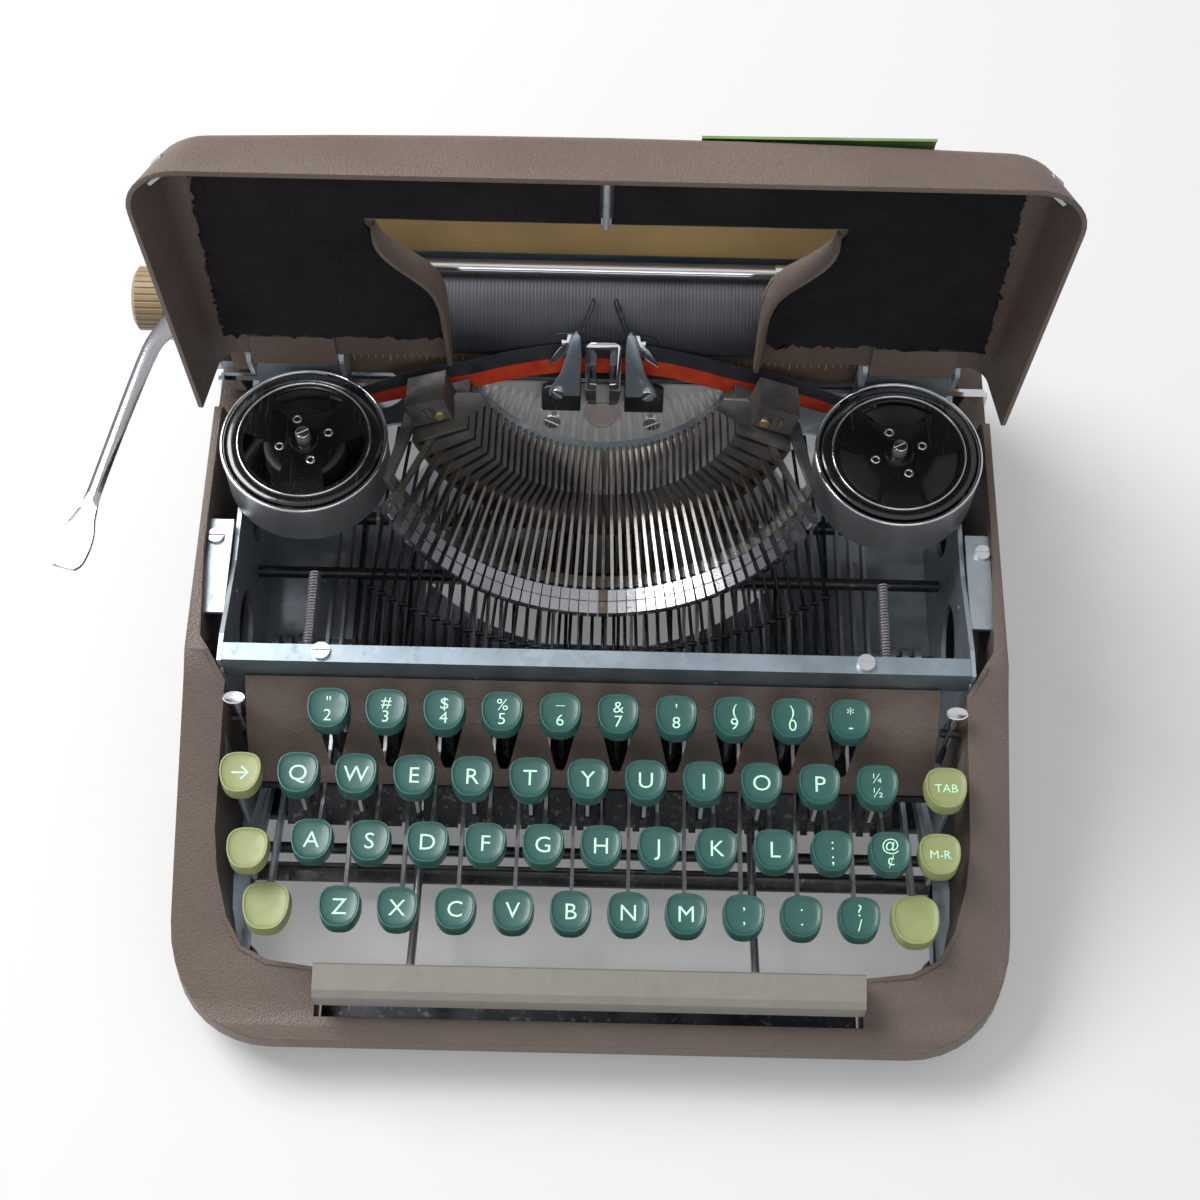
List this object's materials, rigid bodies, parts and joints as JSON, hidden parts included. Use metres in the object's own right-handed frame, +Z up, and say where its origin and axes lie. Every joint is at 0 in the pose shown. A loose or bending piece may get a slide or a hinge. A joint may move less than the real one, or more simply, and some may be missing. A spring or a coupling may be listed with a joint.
{
  "type": "portable manual typewriter",
  "caption": "Flat-top portable typewriter standing with its ribbon cover raised, the type basket open to view and the carriage over a low rear deck.",
  "frame": {"origin": "middle of the footprint, on the surface that the feet stand on", "axes": "+X to the typist's right, +Y to the back, +Z up"},
  "size_m": [0.32, 0.286, 0.2329],
  "materials": {
    "taupe_paint": "fine crackle paint",
    "zinc": "zinc plate",
    "levers": "light grey plate",
    "chrome": "bright plate",
    "blued_steel": "satin black oxide",
    "black_enamel": "gloss black enamel",
    "green_keys": "moulded, dished",
    "olive_keys": "moulded, dished",
    "space_bar": "moulded",
    "feet": "matt rubber",
    "platen_rubber": "fine ground rubber",
    "knobs": "fluted",
    "felt": "felt",
    "ribbon_cloth": "inked cotton, black over red",
    "paper_table": "satin enamel",
    "scale": "printed enamel"
  },
  "bodies": {
    "root": {"body_shell": "taupe_paint", "side_frames": "zinc", "front_cross_bar": "zinc", "base_pan": "zinc", "chassis_screws": "chrome", "rubber_feet": "feet", "shell_brackets": "zinc", "number_plate": "taupe_paint", "key_comb": "blued_steel", "cross_shafts": "zinc", "spool_cups": "black_enamel", "card_holders": "chrome", "carriage_rail": "chrome", "bell": "chrome", "ribbon": "ribbon_cloth", "shift_springs": "blued_steel", "sublevers": "blued_steel", "typebar_links": "blued_steel"},
    "basket": {"segment": "blued_steel", "segment_plate": "chrome", "typebars": "chrome", "type_guide": "chrome"},
    "typebar": {"typebar_h": "chrome"},
    "number_bank": {"number_row_keys": "green_keys", "number_row_levers": "levers"},
    "q_bank": {"q_row_keys": "green_keys", "q_row_levers": "levers"},
    "a_bank": {"a_row_keys": "green_keys", "a_row_levers": "levers"},
    "z_bank": {"z_row_keys": "green_keys", "z_row_levers": "levers"},
    "h_key": {"key_h": "green_keys"},
    "space": {"space_bar": "space_bar", "space_bar_arms": "levers"},
    "shift": {"shift_keys": "olive_keys"},
    "shift_lock": {"shift_lock_key": "olive_keys"},
    "backspace": {"backspace_key": "olive_keys"},
    "tab": {"tab_key": "olive_keys"},
    "margin_release": {"margin_release_key": "olive_keys"},
    "colour_lever": {"ribbon_colour_lever": "chrome"},
    "touch": {"touch_lever": "chrome"},
    "supply_spool": {"left_spool": "black_enamel"},
    "take_up_spool": {"right_spool": "black_enamel"},
    "vibrator": {"ribbon_vibrator": "chrome"},
    "cover": {"ribbon_cover": "taupe_paint", "cover_felt": "felt", "cover_fittings": "zinc"},
    "carriage": {"carriage_frame": "zinc", "paper_table": "paper_table", "scale_plate": "scale"},
    "platen": {"platen": "platen_rubber", "platen_knobs": "knobs"},
    "feed": {"feed_rollers": "feet"},
    "bail": {"paper_bail": "chrome"},
    "paper_release": {"paper_release_lever": "chrome"},
    "line_space": {"return_lever": "chrome"},
    "left_stop": {"left_margin_stop": "chrome"},
    "right_stop": {"right_margin_stop": "chrome"},
    "drum": {"mainspring_drum": "chrome"},
    "escapement": {"escapement_wheel": "chrome"}
  },
  "joints": [
    {"name": "basket_shift", "type": "slide", "parent": "root", "child": "basket", "axis": [0, -0.2588, -0.9659], "range_m": [0, 0.00635], "stiffness_N_per_m": 200, "springref_m": -0.03},
    {"name": "typebar_swing", "type": "hinge", "parent": "basket", "child": "typebar", "pos_m": [0.01764, 0.05778, 0.06924], "axis": [-0.9998, -0.0058, -0.0215], "range_deg": [0, 116]},
    {"name": "number_row_press", "type": "hinge", "parent": "root", "child": "number_bank", "pos_m": [0.01645, 0.057, 0.026], "axis": [1, 0, 0], "range_deg": [0, 6.4], "stiffness_Nm_per_rad": 0.5, "springref_deg": -17.19},
    {"name": "q_row_press", "type": "hinge", "parent": "root", "child": "q_bank", "pos_m": [0.01645, 0.057, 0.026], "axis": [1, 0, 0], "range_deg": [0, 5.5], "stiffness_Nm_per_rad": 0.5, "springref_deg": -17.19},
    {"name": "a_row_press", "type": "hinge", "parent": "root", "child": "a_bank", "pos_m": [0.01645, 0.057, 0.026], "axis": [1, 0, 0], "range_deg": [0, 4.8], "stiffness_Nm_per_rad": 0.5, "springref_deg": -17.19},
    {"name": "z_row_press", "type": "hinge", "parent": "root", "child": "z_bank", "pos_m": [0.01645, 0.057, 0.026], "axis": [1, 0, 0], "range_deg": [0, 4.2], "stiffness_Nm_per_rad": 0.5, "springref_deg": -17.19},
    {"name": "h_press", "type": "hinge", "parent": "root", "child": "h_key", "pos_m": [0.01645, 0.057, 0.026], "axis": [1, 0, 0], "range_deg": [0, 4.8], "stiffness_Nm_per_rad": 0.1, "springref_deg": -17.19},
    {"name": "space_press", "type": "hinge", "parent": "root", "child": "space", "pos_m": [0.01645, -0.043, 0.016], "axis": [1, 0, 0], "range_deg": [0, 4], "stiffness_Nm_per_rad": 0.5, "springref_deg": -14.32},
    {"name": "shift_press", "type": "hinge", "parent": "root", "child": "shift", "pos_m": [0.01645, 0.007, 0.016], "axis": [1, 0, 0], "range_deg": [0, 5.6], "stiffness_Nm_per_rad": 0.6, "springref_deg": -14.32},
    {"name": "shift_lock_press", "type": "hinge", "parent": "root", "child": "shift_lock", "pos_m": [0.01645, 0.007, 0.016], "axis": [1, 0, 0], "range_deg": [0, 2.8], "stiffness_Nm_per_rad": 0.1, "springref_deg": -17.19},
    {"name": "backspace_press", "type": "hinge", "parent": "root", "child": "backspace", "pos_m": [0.01645, 0.007, 0.016], "axis": [1, 0, 0], "range_deg": [0, 4.8], "stiffness_Nm_per_rad": 0.1, "springref_deg": -17.19},
    {"name": "tab_press", "type": "hinge", "parent": "root", "child": "tab", "pos_m": [0.01645, 0.007, 0.016], "axis": [1, 0, 0], "range_deg": [0, 4.8], "stiffness_Nm_per_rad": 0.1, "springref_deg": -17.19},
    {"name": "margin_release_press", "type": "hinge", "parent": "root", "child": "margin_release", "pos_m": [0.01645, 0.007, 0.016], "axis": [1, 0, 0], "range_deg": [0, 6], "stiffness_Nm_per_rad": 0.1, "springref_deg": -17.19},
    {"name": "colour_select", "type": "hinge", "parent": "root", "child": "colour_lever", "pos_m": [0.01645, -0.043, 0.062], "axis": [1, 0, 0], "range_deg": [-8, 8]},
    {"name": "touch_select", "type": "hinge", "parent": "root", "child": "touch", "pos_m": [0.01645, -0.043, 0.062], "axis": [1, 0, 0], "range_deg": [-8, 8]},
    {"name": "supply_spool_turn", "type": "hinge", "parent": "root", "child": "supply_spool", "pos_m": [-0.08505, 0.043, 0.087], "axis": [0, 0, 1], "continuous": true},
    {"name": "take_up_spool_turn", "type": "hinge", "parent": "root", "child": "take_up_spool", "pos_m": [0.11795, 0.043, 0.087], "axis": [0, 0, 1], "continuous": true},
    {"name": "vibrator_lift", "type": "slide", "parent": "root", "child": "vibrator", "axis": [0, 0.2588, 0.9659], "range_m": [0, 0.008], "deforming": ["ribbon"]},
    {"name": "cover_hinge", "type": "hinge", "parent": "root", "child": "cover", "pos_m": [0.01645, 0.067, 0.118], "axis": [1, 0, 0], "range_deg": [0, 95.4]},
    {"name": "carriage_travel", "type": "slide", "parent": "root", "child": "carriage", "axis": [1, 0, 0], "range_m": [-0.11, 0.01]},
    {"name": "platen_turn", "type": "hinge", "parent": "carriage", "child": "platen", "pos_m": [0.00295, 0.09113, 0.11568], "axis": [1, 0, 0], "continuous": true},
    {"name": "feed_turn", "type": "hinge", "parent": "carriage", "child": "feed", "pos_m": [0.00295, 0.09813, 0.09567], "axis": [1, 0, 0], "continuous": true},
    {"name": "bail_lift", "type": "hinge", "parent": "carriage", "child": "bail", "pos_m": [0.00295, 0.109, 0.121], "axis": [-1, 0, 0], "range_deg": [0, 35]},
    {"name": "paper_release_pull", "type": "hinge", "parent": "carriage", "child": "paper_release", "pos_m": [0.12895, 0.107, 0.118], "axis": [1, 0, 0], "range_deg": [0, 20]},
    {"name": "line_space_push", "type": "hinge", "parent": "carriage", "child": "line_space", "pos_m": [-0.12795, 0.0798, 0.121], "axis": [0, 0, 1], "range_deg": [0, 20], "stiffness_Nm_per_rad": 0.1, "springref_deg": -14.32},
    {"name": "left_stop_slide", "type": "slide", "parent": "carriage", "child": "left_stop", "axis": [1, 0, 0], "range_m": [-0.045, 0.06]},
    {"name": "right_stop_slide", "type": "slide", "parent": "carriage", "child": "right_stop", "axis": [1, 0, 0], "range_m": [-0.06, 0.045]},
    {"name": "drum_wind", "type": "hinge", "parent": "root", "child": "drum", "pos_m": [-0.07555, 0.118, 0.03], "axis": [0, 1, 0], "range_deg": [-412, 40]},
    {"name": "escapement_turn", "type": "hinge", "parent": "root", "child": "escapement", "pos_m": [0.01645, 0.112, 0.073], "axis": [0, 1, 0], "range_deg": [-930, 90]}
  ],
  "couplings": [
    {"joint": "basket_shift", "follows": "shift_press", "m_per_rad": 0.064959},
    {"joint": "typebar_swing", "follows": "h_press", "ratio": 24.166},
    {"joint": "vibrator_lift", "follows": "h_press", "m_per_rad": 0.095483},
    {"joint": "take_up_spool_turn", "follows": "supply_spool_turn", "ratio": 1},
    {"joint": "feed_turn", "follows": "platen_turn", "ratio": -3.2},
    {"joint": "drum_wind", "follows": "carriage_travel", "rad_per_m": 64.516},
    {"joint": "escapement_turn", "follows": "carriage_travel", "rad_per_m": 147.06}
  ]
}
